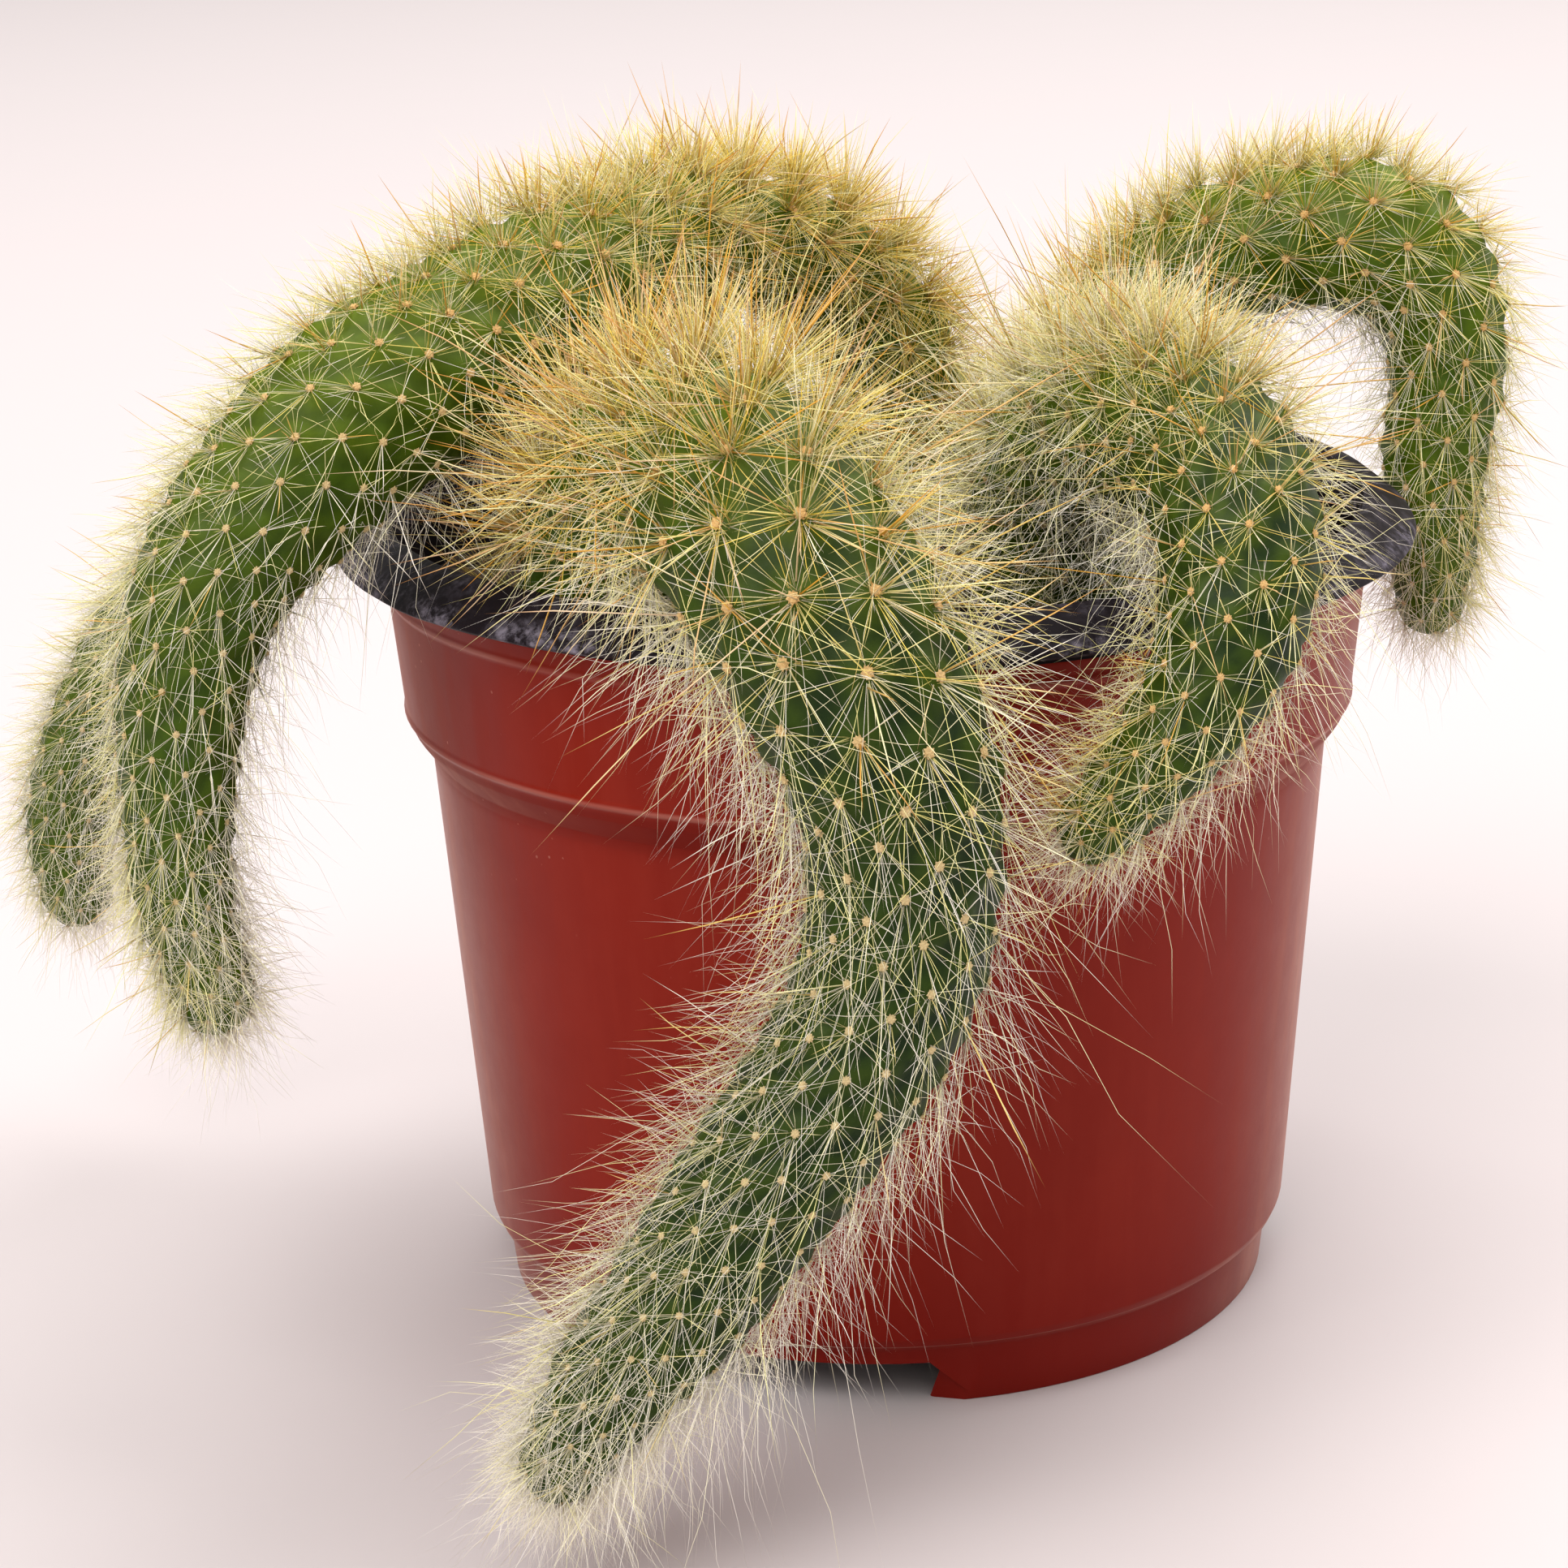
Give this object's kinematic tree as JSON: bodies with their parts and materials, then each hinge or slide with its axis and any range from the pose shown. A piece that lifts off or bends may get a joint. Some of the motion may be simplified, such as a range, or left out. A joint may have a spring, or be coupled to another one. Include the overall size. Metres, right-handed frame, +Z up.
{
  "type": "potted monkey tail cactus",
  "caption": "Small potted monkey tail cactus: trailing spiny stems that arch out of soil in a thin round plastic nursery pot.",
  "frame": {"origin": "on the surface that the pot stands on, under the middle of the whole plant's box in X and Y", "axes": "+Z up; -Y is the side that the longest hanging stem faces, +X to the right seen from there"},
  "size_m": [0.1612, 0.13, 0.1165],
  "materials": {
    "pot_plastic": "red-brown thin plastic outside, black inside and on the lip, slightly glossy, lightly scuffed",
    "soil": "dark loose potting soil, matt",
    "cactus_stem": "green skin with tan areoles, cream and golden spines and fine white hairs"
  },
  "bodies": {
    "root": {"pot": "pot_plastic", "soil": "soil", "stem_front": "cactus_stem", "stem_left": "cactus_stem", "stem_far_left": "cactus_stem", "stem_right_back": "cactus_stem", "stem_right_front": "cactus_stem"}
  },
  "joints": []
}
